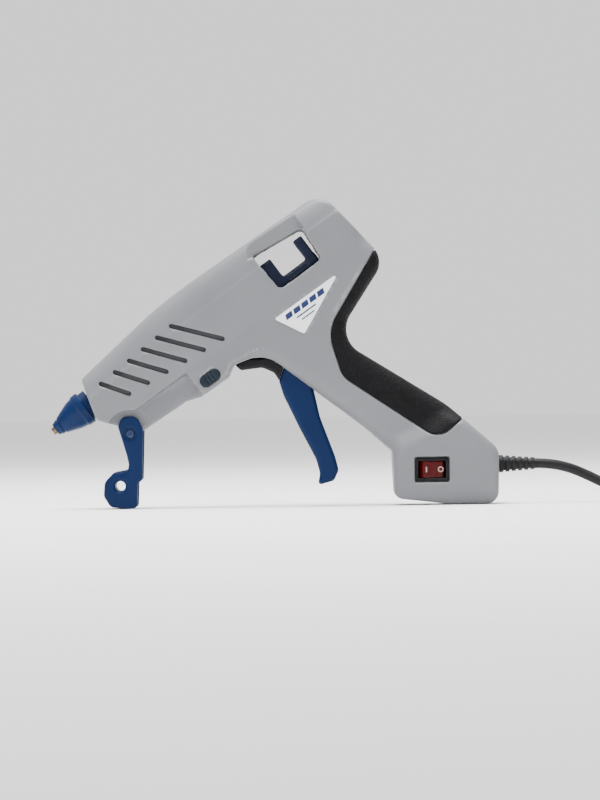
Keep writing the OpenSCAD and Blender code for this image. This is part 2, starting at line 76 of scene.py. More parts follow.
class Nodes:
    """A small builder of node trees: add() makes a node, its inputs set by name or linked."""

    def __init__(self, name):
        self.material = bpy.data.materials.new(name)
        self.material.use_nodes = True
        self.tree = self.material.node_tree
        self.shader = self.tree.nodes["Principled BSDF"]
        self.where = self.add("ShaderNodeTexCoord").outputs["Object"]

    def add(self, kind, settings=None, **inputs):
        node = self.tree.nodes.new(kind)
        for key, value in (settings or {}).items():
            setattr(node, key, value)
        for key, value in inputs.items():
            self.put(node, key, value)
        return node

    def put(self, node, key, value):
        socket = node.inputs[int(key[1:])] if key[0] == "_" else node.inputs[key.replace("_", " ")]
        if isinstance(value, bpy.types.NodeSocket):
            self.tree.links.new(value, socket)
        else:
            socket.default_value = value

    def noise(self, scale, detail=2.0):
        return self.add("ShaderNodeTexNoise", Vector=self.where, Scale=scale, Detail=detail).outputs["Fac"]

    def spread(self, value, low, high, start=0.3, end=0.7):
        """Maps value from start..end to low..high."""
        return self.add("ShaderNodeMapRange", _0=value, _1=start, _2=end, _3=low, _4=high).outputs[0]

    def mix(self, factor, a, b):
        return self.add("ShaderNodeMix", {"data_type": "RGBA"}, _0=factor, _6=a, _7=b).outputs[2]

    def math(self, operation, a, b):
        return self.add("ShaderNodeMath", {"operation": operation}, _0=a, _1=b).outputs[0]

    def bump(self, strength, distance, height):
        """Sends height to the shader's normal; distance is in metres."""
        node = self.add("ShaderNodeBump", Strength=strength, Distance=distance, Height=height)
        self.put(self.shader, "Normal", node.outputs[0])

    def set(self, **values):
        """Sets constants on the shader's own sockets."""
        for key, value in values.items():
            self.shader.inputs[key.replace("_", " ")].default_value = value


def tint(colour, factor):
    return tuple(min(1.0, c * factor) for c in colour) + (1.0,)


def plastic(
    name, colour, rough=(0.38, 0.5), grain=0.25, grain_scale=2600, wear=0.25, vary=0.06, coat=0.0, gloss=0.5
):
    """Moulded plastic or rubber: slow tone changes, a fine moulded grain, and paler worn edges."""
    n = Nodes(name)
    tone = n.spread(n.noise(22, 3), 1, 0)
    base = n.mix(tone, tint(colour, 1 - vary), tint(colour, 1 + vary))
    specks = n.spread(n.noise(900, 2), 0, 0.35, 0.55, 0.8)
    base = n.mix(specks, base, tint(colour, 1 - 2 * vary))
    pointy = n.add("ShaderNodeNewGeometry").outputs["Pointiness"]
    patchy = n.spread(n.noise(160, 4), 0.2, 1, 0.4, 0.65)
    edge = n.math("MULTIPLY", n.spread(pointy, 0, wear, 0.52, 0.6), patchy)
    base = n.mix(edge, base, tint([0.35 + 0.65 * c for c in colour], 1.0))
    n.put(n.shader, "Base_Color", base)
    n.put(n.shader, "Roughness", n.spread(n.noise(70, 4), rough[0], rough[1]))
    fine = n.noise(grain_scale, 2)
    broad = n.noise(60, 1)
    height = n.math("ADD", fine, n.math("MULTIPLY", broad, 0.4))
    n.bump(grain, 0.0001, height)
    n.set(Specular_IOR_Level=gloss, Coat_Weight=coat, Coat_Roughness=0.15)
    return n.material


def stipple(name, colour):
    """Soft overmould with a raised leathery stipple."""
    n = Nodes(name)
    cells = n.add("ShaderNodeTexVoronoi", {"feature": "F1"}, Vector=n.where, Scale=620.0).outputs["Distance"]
    pebble = n.spread(cells, 1, 0, 0.15, 0.6)
    base = n.mix(n.spread(n.noise(40, 3), 0, 1), tint(colour, 0.75), tint(colour, 1.5))
    base = n.mix(n.math("MULTIPLY", pebble, 0.55), base, tint(colour, 2.4))
    n.put(n.shader, "Base_Color", base)
    n.put(n.shader, "Roughness", n.spread(n.noise(90, 4), 0.55, 0.75))
    height = n.math("ADD", pebble, n.math("MULTIPLY", n.noise(3000, 2), 0.3))
    n.bump(0.7, 0.0003, height)
    n.set(Specular_IOR_Level=0.12)
    return n.material


def metal(name, colour, rough=(0.22, 0.38), bump=0.15, tarnish=0.25):
    """Turned or drawn metal with fine tool marks and a little tarnish."""
    n = Nodes(name)
    marks = n.noise(900, 3)
    patches = n.spread(n.noise(60, 4), 0, tarnish, 0.45, 0.7)
    dull = tint([c * k for c, k in zip(colour, (0.55, 0.5, 0.45))], 1.0)
    base = n.mix(patches, tint(colour, 1.0), dull)
    n.put(n.shader, "Base_Color", base)
    n.put(n.shader, "Roughness", n.spread(marks, rough[0], rough[1]))
    n.bump(bump, 0.0001, marks)
    n.set(Metallic=1.0)
    return n.material


def glow_red(name):
    """The red lens of a lit rocker, with a faint glow."""
    n = Nodes(name)
    tone = n.spread(n.noise(260, 2), 0, 1)
    base = n.mix(tone, (0.03, 0.001, 0.001, 1), (0.058, 0.0015, 0.0015, 1))
    n.put(n.shader, "Base_Color", base)
    n.put(n.shader, "Roughness", n.spread(n.noise(500, 3), 0.14, 0.26))
    n.bump(0.12, 0.0001, n.noise(700, 2))
    n.put(n.shader, "Emission_Color", base)
    n.set(Emission_Strength=0.1, Coat_Weight=0.05, Specular_IOR_Level=0.12)
    return n.material


def woven(name, colour):
    """A hook-and-loop strap: a fuzzy ribbed weave."""
    n = Nodes(name)
    bands = {"wave_type": "BANDS", "bands_direction": "X"}
    wave = n.add("ShaderNodeTexWave", bands, Vector=n.where, Scale=420.0, Distortion=1.5, Detail=2.0)
    wave = wave.outputs["Fac"]
    fuzz = n.noise(2200, 3)
    base = n.mix(n.math("MULTIPLY", wave, fuzz), tint(colour, 0.7), tint(colour, 1.9))
    n.put(n.shader, "Base_Color", base)
    n.put(n.shader, "Roughness", n.spread(fuzz, 0.8, 0.95))
    n.bump(0.6, 0.0002, n.math("ADD", wave, fuzz))
    n.set(Sheen_Weight=0.3)
    return n.material


BLACK = (0.004, 0.004, 0.005)

PLASTICS = {
    "housing_grey": dict(colour=(0.14, 0.143, 0.154), rough=(0.4, 0.52), grain=0.3, wear=0.22, gloss=0.4),
    "royal_blue": dict(
        colour=(0.0008, 0.0105, 0.05), rough=(0.3, 0.42), grain=0.18, wear=0.1, vary=0.12, gloss=0.12),
    "carriage_navy": dict(
        colour=(0.002, 0.006, 0.026), rough=(0.28, 0.4), grain=0.15, wear=0.1, vary=0.12, gloss=0.2),
    "black_plastic": dict(colour=BLACK, rough=(0.3, 0.42), grain=0.2, wear=0.06, vary=0.12, gloss=0.15),
    "button_grey": dict(colour=(0.006, 0.012, 0.02), rough=(0.3, 0.42), grain=0.2, wear=0.08, gloss=0.15),
    "badge_white": dict(
        colour=(0.8, 0.81, 0.84), rough=(0.2, 0.28), grain=0.04, wear=0.0, vary=0.02, coat=0.3),
    "badge_ink": dict(
        colour=(0.014, 0.024, 0.085), rough=(0.25, 0.35), grain=0.05, wear=0.0, vary=0.1, gloss=0.2),
    "silicone_black": dict(colour=(0.02, 0.02, 0.022), rough=(0.6, 0.75), grain=0.1, wear=0.0),
    "cord_black": dict(
        colour=(0.005, 0.005, 0.006), rough=(0.42, 0.56), grain=0.2, grain_scale=1500, wear=0.0, gloss=0.2),
    "plug_black": dict(colour=(0.006, 0.006, 0.007), rough=(0.36, 0.5), grain=0.25, wear=0.06, gloss=0.2),
    "mark_white": dict(colour=(0.34, 0.24, 0.23), rough=(0.3, 0.4), grain=0.05, wear=0.0, vary=0.03),
    "heater_film": dict(colour=(0.55, 0.26, 0.06), rough=(0.2, 0.3), grain=0.1, wear=0.0, coat=0.4),
    "fuse_ceramic": dict(colour=(0.75, 0.7, 0.6), rough=(0.5, 0.65), grain=0.2, wear=0.0),
    "cream_plastic": dict(colour=(0.72, 0.68, 0.56), rough=(0.35, 0.5), grain=0.2, wear=0.1),
    # painted shade: a near-black colour for the sheet behind the vents, standing in for their shadow
    "vent_shade_dark": dict(colour=(0.022, 0.024, 0.027), rough=(0.7, 0.85), grain=0.3, wear=0.0),
    "wire_brown": dict(colour=(0.16, 0.06, 0.025), rough=(0.35, 0.45), grain=0.1, wear=0.0),
}
METALS = {
    "brass": dict(colour=(0.2, 0.14, 0.07), rough=(0.35, 0.5), tarnish=0.8),
    "steel": dict(colour=(0.55, 0.55, 0.57), tarnish=0.2),
    "cast_aluminium": dict(colour=(0.66, 0.67, 0.69), rough=(0.4, 0.6), bump=0.35, tarnish=0.3),
    "pin_nickel": dict(colour=(0.72, 0.7, 0.66), rough=(0.12, 0.24), tarnish=0.15),
}
LOOK = {name: plastic(name, **row) for name, row in PLASTICS.items()}
LOOK.update({name: metal(name, **row) for name, row in METALS.items()})
LOOK["grip_black"] = stipple("grip_black", (0.0025, 0.0025, 0.003))
LOOK["rocker_red"] = glow_red("rocker_red")
LOOK["tie_grey"] = woven("tie_grey", (0.035, 0.035, 0.04))

# ---------------------------------------------------------------- pieces


def finish_piece(name, mesh, body, slot, nodes, look=None, smooth=True):
    """Links a mesh, in the frame's metres, as a piece that rides on a body and stands for CAD nodes."""
    mesh.materials.append(LOOK[look or slot])
    if smooth:
        mesh.polygons.foreach_set("use_smooth", [True] * len(mesh.polygons))
    piece = bpy.data.objects.new(name, mesh)
    bpy.context.scene.collection.objects.link(piece)
    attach(piece, body)
    if nodes:
        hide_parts(*nodes)
    return piece


def mesh_of(name, points, faces):
    """A mesh from points in mm."""
    mesh = bpy.data.meshes.new(name)
    mesh.from_pydata([tuple(p) for p in (np.asarray(points) * MM).tolist()], [], faces)
    mesh.validate()
    return mesh


SHELL_STEP = 0.8
SHADE_SHEET_STEP = 0.7
GRIP_STEP = 0.65
MOVING_STEP = 0.55
DETAIL_STEP = 0.35

# ---- signed distances: negative inside


def meet(a, b, r):
    """Where both are inside, with the edge between them rounded to radius r."""
    return np.minimum(-r, np.maximum(a, b)) + np.hypot(np.maximum(a + r, 0), np.maximum(b + r, 0))


def join(a, b, r):
    """Where either is inside, with the corner between them filled to radius r."""
    return np.maximum(r, np.minimum(a, b)) - np.hypot(np.maximum(r - a, 0), np.maximum(r - b, 0))


def bevelled(a, b, r):
    """Where both are inside, with the edge between them cut off at 45 degrees."""
    return np.maximum(np.maximum(a, b), (a + b + r) * math.sqrt(0.5))


def ease(v):
    v = np.clip(v, 0, 1)
    return v * v * (3 - 2 * v)


def rounded(corners, arc=6):
    """The outline through corners [x, z, radius], each rounded by an arc."""
    out = []
    for i, (x, z, r) in enumerate(corners):
        b = np.array((x, z), float)
        if r == 0:
            out.append(b)
            continue
        u = np.array(corners[i - 1][:2], float) - b
        v = np.array(corners[(i + 1) % len(corners)][:2], float) - b
        u, v = u / np.linalg.norm(u), v / np.linalg.norm(v)
        half = math.acos(max(-1, min(1, float(u @ v)))) / 2
        middle = b + (u + v) / np.linalg.norm(u + v) * r / math.sin(half)
        start = b + u * r / math.tan(half) - middle
        sweep = (math.pi - 2 * half) * (-1 if u[0] * v[1] - u[1] * v[0] > 0 else 1)
        steps = max(3, math.ceil(abs(math.degrees(sweep)) / arc))
        first = math.atan2(start[1], start[0])
        for k in range(steps + 1):
            a = first + sweep * k / steps
            out.append(middle + r * np.array((math.cos(a), math.sin(a))))
    return np.array(out)


def polygon_distance(outline, x, z):
    """The distance from points to a closed outline, negative inside."""
    x, z = np.broadcast_arrays(np.asarray(x, float), np.asarray(z, float))
    nearest = np.full(x.shape, 1e9)
    inside = np.zeros(x.shape, bool)
    for (ax, az), (bx, bz) in zip(outline, np.roll(outline, -1, 0)):
        ex, ez = bx - ax, bz - az
        size = ex * ex + ez * ez
        if size < 1e-12:
            continue
        wx, wz = x - ax, z - az
        along = np.clip((wx * ex + wz * ez) / size, 0, 1)
        nearest = np.minimum(nearest, (wx - ex * along) ** 2 + (wz - ez * along) ** 2)
        if az != bz:
            inside ^= ((az > z) != (bz > z)) & (x < ex * (z - az) / ez + ax)
    return np.sqrt(nearest) * np.where(inside, -1, 1)


class Plan:
    """The distance to an outline in a plane, read from a table."""

    def __init__(self, corners, step=0.4, margin=14):
        outline = rounded(corners)
        self.low = outline.min(0) - margin
        count = np.ceil((outline.max(0) + margin - self.low) / step).astype(int) + 1
        u = self.low[0] + step * np.arange(count[0])
        v = self.low[1] + step * np.arange(count[1])
        self.table = polygon_distance(outline, u[:, None], v[None, :])
        self.step = step

    def __call__(self, x, z):
        x, z = np.broadcast_arrays(x, z)
        u = np.clip((x - self.low[0]) / self.step, 0, self.table.shape[0] - 1.001)
        v = np.clip((z - self.low[1]) / self.step, 0, self.table.shape[1] - 1.001)
        i, j = u.astype(int), v.astype(int)
        u, v = u - i, v - j
        t = self.table
        near = t[i, j] * (1 - u) + t[i + 1, j] * u
        far = t[i, j + 1] * (1 - u) + t[i + 1, j + 1] * u
        return near * (1 - v) + far * v


def surface(name, field, low, high, step):
    """The mesh of the surface where field(x, y, z) is zero, inside a box, drawn tight to it in three passes."""
    axes = [np.arange(a - 3 * step, b + 4 * step, step) for a, b in zip(low, high)]
    values = field(axes[0][:, None, None], axes[1][None, :, None], axes[2][None, None, :])
    grid = openvdb.FloatGrid(3 * step)
    grid.copyFromArray(np.clip(values, -3 * step, 3 * step).astype(np.float32))
    points, quads = grid.convertToQuads(0.0)
    points = points.astype(float) * step + [a[0] for a in axes]
    reach = 0.2 * step
    for _ in range(3):
        value = field(*points.T)
        slope = np.stack([
            (field(*(points + d).T) - field(*(points - d).T)) / (2 * reach) for d in np.eye(3) * reach
        ], 1)
        size = np.maximum((slope**2).sum(1), 0.25)
        points -= slope * np.clip(value / size, -0.4 * step, 0.4 * step)[:, None]
    mesh = bpy.data.meshes.new(name)
    mesh.vertices.add(len(points))
    mesh.vertices.foreach_set("co", (points * MM).astype(np.float32).ravel())
    mesh.loops.add(4 * len(quads))
    mesh.loops.foreach_set("vertex_index", quads.astype(np.int32).ravel())
    mesh.polygons.add(len(quads))
    mesh.polygons.foreach_set("loop_start", np.arange(0, 4 * len(quads), 4, dtype=np.int32))
    mesh.update(calc_edges=True)
    mesh.validate()
    return mesh


# ---- the gun's own measures: outlines are [x, z, corner radius], BARREL is (radius, distance from the tip)

ANGLE = math.radians(36.2)
COS, SIN = math.cos(ANGLE), math.sin(ANGLE)
TIP = (-141.6, 49.5)
TRIGGER_PIVOT = (TIP[0] + 140 * COS + 36 * SIN, TIP[1] + 140 * SIN - 36 * COS)
STAND_PIVOT = (-91.8, 47.5)
SWITCH = (99.9, 22.3)
LATCH, LATCH_TURN = (-40.2, 82.5), math.radians(35)
CORD_Z = 25.0

OUTLINE = [
    (-123, 83, 2.5), (-71.2, 131.1, 250), (31.3, 199.8, 14), (72.3, 156.6, 14),
    (40.2, 107, 17), (110, 63.5, 60), (143, 34.5, 12), (142.2, 0, 8),
    (112, 0, 30), (76, 4.2, 6), (74.8, 34, 3), (57, 49.6, 80),
    (-5.7, 98, 21), (-25.2, 90.3, 1.5), (-28.5, 82.5, 4), (-46, 70.5, 3),
    (-56, 67.5, 3), (-84, 49, 6), (-101, 53, 4), (-113, 56.6, 2.5),
]
FOOT = [(70, 36, 0), (84, 42, 10), (122, 60, 10), (160, 44, 0), (160, -10, 0), (70, -10, 0)]
GRIP = [
    (68, 167, 0), (34.8, 111.3, 25), (44, 81.9, 15), (104.5, 41.3, 12), (120, 54.5, 0),
    (136, 72, 0), (92, 112, 0), (98, 150, 0),
]
BADGE = [(1, 119.3, 1), (42.6, 148.6, 1), (20.2, 109.6, 1.2)]
WINDOW = [(169.4, 11.5, 2), (204.5, 7.4, 3), (202.6, -14.9, 2.5), (171.2, -14.6, 2.5)]
VENT_R = 1.5
VENTS = [[(-109.7, 79.6), (-92, 73.3)], [(-64.4, 115.7), (-32.1, 107.3)]]
BARREL = [
    (15.5, 0), (15.5, 20), (18, 38), (24.6, 95), (25.8, 130), (25.4, 176), (23.7, 206), (21.6, 226),
    (21.6, 260),
]
# Screw places, each with the depth from the middle plane to its post's end.
SCREWS = [
    (-70, 65, 10), (-55.4, 134.8, 14.5), (23, 188.4, 14.5), (52, 140, 16.6),
    (46, 92, 16.6), (99, 48.5, 16.6), (133, 10, 22.6), (84.5, 12, 22.6),
]
TRIGGER_SLOT = [
    (-26, 78, 0), (-26, 101, 0), (-18, 112, 0), (4, 112, 0), (20, 101, 0), (40, 84, 0), (66, 54, 0),
    (59, 38, 0), (20, 50, 0),
]
BLADE = [
    (-11.6, 98.9, 2.5), (-1.6, 94.2, 2), (6.7, 88.7, 1.5), (3.4, 79.8, 3), (6.2, 70.5, 20), (16.2, 49.5, 60),
    (26.5, 29.5, 20), (28.8, 20.4, 8), (27.4, 13, 1.5), (37.8, 15.8, 3.5), (40.9, 22.5, 5), (38.6, 31.5, 20),
    (29.3, 56.6, 40), (25, 76.5, 4), (14.5, 88, 10), (-1.8, 101.4, 2.5),
]
SHROUD = [
    (-24.3, 90.3, 1), (-20.8, 87, 2), (-7, 88.6, 6), (0.4, 85.2, 4), (3.6, 80, 0), (8, 90, 0),
    (-3, 96.5, 1), (-9.5, 94.9, 2), (-20, 95.5, 3),
]
ARM = [
    (-99.6, 52.3, 2), (-97, 58.3, 4), (-87.5, 59, 5), (-83.4, 50, 4), (-84.4, 18.5, 1.5), (-87.2, 16.2, 1),
    (-87.8, 0, 3), (-99, 0, 2), (-99, 20, 1), (-93.6, 24.3, 2), (-92.9, 28, 3), (-94.2, 34, 20),
    (-96.5, 42, 20),
]
LOOP = [
    (-94.4, 24.6, 0.5), (-102.5, 23.2, 5), (-108.6, 17, 6), (-109.3, 8, 5), (-105, 1, 4), (-97, 0, 3),
    (-92.8, 0, 0), (-94.2, 24.5, 0),
]
LOOP_HOLE = (-98.5, 14.4)
WALL, GRIP_DEPTH = 2.6, 1.2
BADGE_FACE = -18.38


def on_barrel(x, z):
    """(s, t): the distance from the tip along the barrel's axis, and above it."""
    dx, dz = x - TIP[0], z - TIP[1]
    return dx * COS + dz * SIN, dz * COS - dx * SIN


def rod(x, z, at, r):
    return np.hypot(x - at[0], z - at[1]) - r


def box(u, low, high):
    return np.maximum(low - u, u - high)


def smoothed_barrel(reach=16):
    """The barrel's radius every 0.5 mm along its axis, averaged over reach steps to each side."""
    along = np.linspace(0, 260, 521)
    radius = np.interp(along, [s for _, s in BARREL], [r for r, _ in BARREL])
    window = 2 * reach + 1
    return along, np.convolve(np.pad(radius, reach, mode="edge"), np.ones(window) / window, "valid")


BARREL_S, BARREL_R = smoothed_barrel()

outline_plan, foot_plan = Plan(OUTLINE), Plan(FOOT)
grip_plan, slot_plan = Plan(GRIP), Plan(TRIGGER_SLOT)
window_plan, badge_plan = Plan(WINDOW, 0.3), Plan(BADGE, 0.3)

# Half widths across the gun.
BARREL_HALF, NOSE_HALF, HANDLE_HALF, FOOT_HALF, KEEL_HALF = 21, 17, 18, 24, 11
SCOOP_FLOOR, SCOOP_ENDS = 15.2, (150, 206)
STICK_R = 6.05
PIVOT_HOLE_R = 2.56
TRIGGER_HALF, FORK_OUT, STAND_HALF = 9, 14.5, 15


def form(x, y, z):
    """The gun's outer surface."""
    y = np.abs(y)
    s, t = on_barrel(x, z)
    tube = np.hypot(y, t) - np.interp(s, BARREL_S, BARREL_R)
    tube = meet(tube, y - BARREL_HALF, 8)
    foot = foot_plan(x, z)
    wide = HANDLE_HALF + (FOOT_HALF - HANDLE_HALF) * ease((8 - foot) / 15)
    nose = np.maximum(meet(y - NOSE_HALF, -21 - t, 1.2), s - 100)
    handle = meet(y - wide, 91 - s, 1.2)
    keel = np.maximum(y - KEEL_HALF, s - 100)
    low = np.maximum(np.minimum(np.minimum(nose, handle), keel), t - 1)
    whole = join(tube, low, 5)
    # The edge's rounding grows towards the back of the handle and shrinks at the foot.
    edge = 2.2 + 7.5 * ease((s - 118) / 45) * ease((-8 - t) / 16) - 3.5 * ease((4 - foot) / 14)
    whole = meet(whole, outline_plan(x, z), np.maximum(edge, 1.2))
    heel = (y - FOOT_HALF) * 0.92 - (z - 11) * 0.392 + np.where(z < 11.5, 0.55, 0)
    whole = meet(whole, np.where(foot < 12, heel, -20), 0.8)
    pivot = np.maximum(rod(x, z, STAND_PIVOT, 15.2), 11 - y)
    whole = meet(whole, -pivot, 0.8)
    # The strip cut into the barrel's side above the window.
    floor = SCOOP_FLOOR + 6.3 * (1 - ease((s - 160) / 12))
    ledge = 11.6 - 0.117 * (s - 169.4)
    scoop = np.maximum(np.maximum(box(s, *SCOOP_ENDS), ledge - t), floor - y)
    return meet(whole, -scoop, 0.7)


def carved(x, y, z):
    """The outer surface with the soft grip's bed set into it."""
    whole = form(x, y, z)
    return np.maximum(whole, np.minimum(0.35 - grip_plan(x, z), whole + GRIP_DEPTH + 0.05))


def vent_plan(x, z):
    """The distance to the nearest of the six vent slots."""
    found = 1e9
    for i in range(6):
        k = i / 5
        a, b = (np.array(VENTS[0][e]) * (1 - k) + np.array(VENTS[1][e]) * k for e in (0, 1))
        d = b - a
        along = np.clip(((x - a[0]) * d[0] + (z - a[1]) * d[1]) / (d @ d), 0, 1)
        found = np.minimum(found, np.hypot(x - a[0] - d[0] * along, z - a[1] - d[1] * along))
    return found - VENT_R


def on_latch(x, z):
    """(u, v): along and across the latch button's slot."""
    dx, dz = x - LATCH[0], z - LATCH[1]
    c, s = math.cos(LATCH_TURN), math.sin(LATCH_TURN)
    return dx * c + dz * s, dz * c - dx * s


def latch_plan(x, z, r, half=3.2):
    u, v = on_latch(x, z)
    return np.hypot(np.maximum(np.abs(u) - half, 0), v) - r


def square(x, z, middle, width, height, r):
    """The distance to a rectangle with rounded corners."""
    a = np.abs(x - middle[0]) - width / 2 + r
    b = np.abs(z - middle[1]) - height / 2 + r
    return np.hypot(np.maximum(a, 0), np.maximum(b, 0)) + np.minimum(np.maximum(a, b), 0) - r


def shell(side):
    """One moulded half: walls, screw posts, and every opening that is cut through it."""
    def field(x, y, z):
        out = side * y
        s, t = on_barrel(x, z)
        whole = form(x, y, z)
        body = np.maximum(carved(x, y, z), -(whole + WALL))
        posts = 1e9
        for px, pz, depth in SCREWS:
            posts = np.minimum(posts, np.maximum(rod(x, z, (px, pz), 4.6), out - depth))
        body = np.minimum(body, np.maximum(posts, whole + 0.5))
        if side < 0:
            pad = np.maximum(square(x, z, SWITCH, 25, 19, 1.5), box(out, 18, 24))
            body = np.minimum(body, np.maximum(pad, whole))
        body = bevelled(body, -np.maximum(window_plan(s, t), 12 - out), 1.6)
        body = meet(body, -np.maximum(vent_plan(x, z), 12 - out), 0.5)
        body = meet(body, -np.maximum(slot_plan(x, z), out - 10), 0.8)
        bore = np.hypot(y, t)
        body = meet(body, -np.maximum(bore - 10, s - 36), 0.6)
        body = meet(body, -np.maximum(bore - 9.1, 212 - s), 1.0)
        body = np.maximum(body, -rod(x, z, STAND_PIVOT, 2.55))
        body = meet(body, -np.maximum(np.hypot(y, z - CORD_Z) - 5.1, 130 - x), 0.6)
        if side < 0:
            body = meet(body, -np.maximum(square(x, z, SWITCH, 22.4, 16.4, 1.2), 21.2 - out), 0.5)
            body = np.maximum(body, -square(x, z, SWITCH, 19.4, 13.4, 0.5))
            body = meet(body, -np.maximum(latch_plan(x, z, 3.8), 10 - out), 0.6)
            body = meet(body, -np.maximum(badge_plan(x, z) - 0.15, 17.42 - out), 0.3)
        else:
            for px, pz, depth in SCREWS:
                body = meet(body, -np.maximum(rod(x, z, (px, pz), 3.2), depth - 2.6 - out), 0.5)
        return meet(body, 0.05 - out, 0.5)

    return field


def grip(side):
    """One soft pad, seated in its bed on the shell."""
    def field(x, y, z):
        out = side * y
        whole = form(x, y, z)
        pad = meet(meet(whole, grip_plan(x, z) + 0.1, 1.0), 0.05 - out, 0.5)
        pad = np.maximum(pad, -(whole + GRIP_DEPTH - 0.1))
        if side > 0:
            for px, pz, _ in SCREWS[3:6]:
                pad = meet(pad, -rod(x, z, (px, pz), 3.4), 0.6)
        return pad

    return field


def painted_vent_shade(side):
    """A thin dark sheet behind the vents, painted shade: it makes them show dark as shadow would."""
    def field(x, y, z):
        out = side * y
        inner = form(x, y, z) + WALL
        sheet = np.maximum(inner, -(inner + 2.0))
        return np.maximum(np.maximum(sheet, vent_plan(x, z) - 2.5), 7 - out)

    return field


def make_housing():
    for side, name, y0, y1 in ((-1, "left", -26, 0), (1, "right", 0, 26)):
        mesh = surface("shell_" + name, shell(side), (-125, y0, -1), (145, y1, 201), SHELL_STEP)
        finish_piece("shell_" + name, mesh, "housing", "housing_grey",
                     [f"{part}_{name}" for part in ("barrel", "handle", "foot")])
        # The dark sheet behind each side's vents is painted shade: it darkens the slots where only shadow would
        # be.
        mesh = surface("vent_shade_sheet_" + name, painted_vent_shade(side), (-116, y0, 68), (-26, y1, 122), SHADE_SHEET_STEP)
        finish_piece("vent_shade_sheet_" + name, mesh, "housing", "black_plastic", [], "vent_shade_dark")
        mesh = surface("soft_grip_" + name, grip(side), (30, y0, 36), (132, y1, 172), GRIP_STEP)
        finish_piece("soft_grip_" + name, mesh, "housing", "grip_black", ["grip_" + name])


def bevelled_plate(name, outline, y_face, y_back, bevel, segments=3):
    """A plate in the XZ plane whose face towards -Y has a rounded edge."""
    bm = bmesh.new()
    face = bm.faces.new([bm.verts.new((x * MM, y_back * MM, z * MM)) for x, z in outline])
    bm.normal_update()
    if face.normal.y > 0:
        face.normal_flip()
    out = bmesh.ops.extrude_face_region(bm, geom=[face])["geom"]
    top = [v for v in out if isinstance(v, bmesh.types.BMVert)]
    bmesh.ops.translate(bm, verts=top, vec=(0, (y_face - y_back) * MM, 0))
    bmesh.ops.recalc_face_normals(bm, faces=bm.faces)
    rim = [e for e in bm.edges if all(abs(v.co.y - y_face * MM) < 1e-7 for v in e.verts)]
    bmesh.ops.bevel(bm, geom=rim, offset=bevel * MM, segments=segments, affect="EDGES", profile=0.5,
                    clamp_overlap=True)
    mesh = bpy.data.meshes.new(name)
    bm.to_mesh(mesh)
    bm.free()
    return mesh


def along_badge(u, v):
    """A point of the badge: u along its upper edge from the front corner, v below that edge."""
    front, back = np.array(BADGE[0][:2]), np.array(BADGE[1][:2])
    d = (back - front) / math.hypot(*(back - front))
    return tuple(front + d * u + np.array((d[1], -d[0])) * v)


def make_badge():
    plate = bevelled_plate("badge_plate", rounded(BADGE), BADGE_FACE, -17.45, 0.25)
    finish_piece("badge_plate", plate, "housing", "badge_white", ["side_badge"], smooth=False)
    # Plain bars, (u0, u1, v0, v1) on the badge.
    bars = [(6.0, 11.0, 2.0, 5.4), (12.2, 17.2, 2.0, 5.4), (18.4, 23.4, 2.0, 5.4), (24.6, 29.6, 2.0, 5.4),
            (30.8, 35.8, 2.0, 5.4), (12.0, 27.0, 7.4, 8.3), (14.0, 24.0, 10.2, 11.0)]
    for i, (u0, u1, v0, v1) in enumerate(bars):
        slant = (v1 - v0) * 0.35
        outline = [along_badge(u0 + slant, v0), along_badge(u1 + slant, v0), along_badge(u1, v1),
                   along_badge(u0, v1)]
        bar = bevelled_plate(f"badge_bar_{i}", outline, BADGE_FACE - 0.08, -18.2, 0.05, 1)
        finish_piece(f"badge_bar_{i}", bar, "housing", "badge_white", [], "badge_ink", smooth=False)


# ---- turned parts


def lathe(name, profile, segments=72, round_off=0.3):
    """Turns a closed profile of (radius, s) about the barrel's axis."""
    outline = rounded([(r, s, round_off) for r, s in profile], 30)

    def place(s, a, r):
        up = r * math.sin(a)
        return TIP[0] + s * COS - up * SIN, r * math.cos(a), TIP[1] + s * SIN + up * COS

    return turned(name, outline, place, segments)


def turned(name, outline, place, segments):
    """Turns an outline of (radius, s); place(s, angle, radius) gives each point."""
    count = len(outline)
    points, faces = [], []
    for k in range(segments):
        a = 2 * math.pi * k / segments
        points += [place(s, a, r) for r, s in outline]
    for k in range(segments):
        for i in range(count):
            j, m = (i + 1) % count, (k + 1) % segments
            faces.append((k * count + i, k * count + j, m * count + j, m * count + i))
    mesh = mesh_of(name, points, faces)
    bm = bmesh.new()
    bm.from_mesh(mesh)
    bmesh.ops.remove_doubles(bm, verts=bm.verts, dist=1e-7)
    bmesh.ops.recalc_face_normals(bm, faces=bm.faces)
    for e in bm.edges:
        e.smooth = len(e.link_faces) != 2 or e.calc_face_angle(0) < math.radians(40)
    bm.to_mesh(mesh)
    bm.free()
    return mesh


